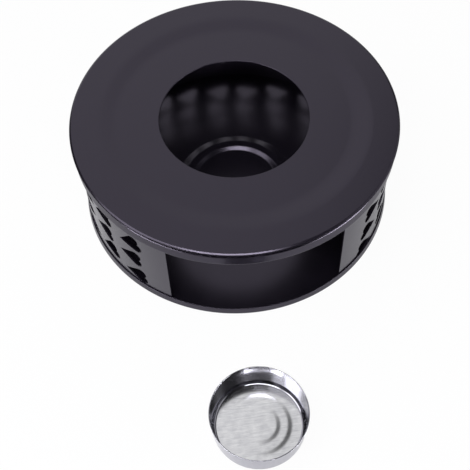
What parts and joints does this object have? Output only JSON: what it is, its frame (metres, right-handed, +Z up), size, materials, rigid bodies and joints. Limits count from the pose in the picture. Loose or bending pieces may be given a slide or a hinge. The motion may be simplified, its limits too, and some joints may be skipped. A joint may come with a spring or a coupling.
{
  "type": "teapot warmer",
  "caption": "Round black sheet-metal teapot warmer: flat top with a flame opening, wall pierced with hearts, open candle window, base pan with a locating ring and a loose steel candle cup.",
  "frame": {"origin": "on the warmer's axis, at table level", "axes": "+Z up along the warmer's axis, -Y out through the middle of the candle window, +X to the right for someone who looks in through the window"},
  "size_m": [0.14, 0.2087, 0.049],
  "materials": {
    "black_coated_sheet": "satin black coating",
    "bright_steel": "bright drawn sheet with a spun floor"
  },
  "bodies": {
    "warmer": {"top_plate": "black_coated_sheet", "wall_band": "black_coated_sheet", "base_pan": "black_coated_sheet"},
    "cup": {"candle_cup": "bright_steel"}
  },
  "joints": [
    {"name": "cup_carry_in", "type": "slide", "parent": "warmer", "child": "cup", "axis": [0.0711, 0.9837, 0.1653], "range_m": [0, 0.121]}
  ]
}
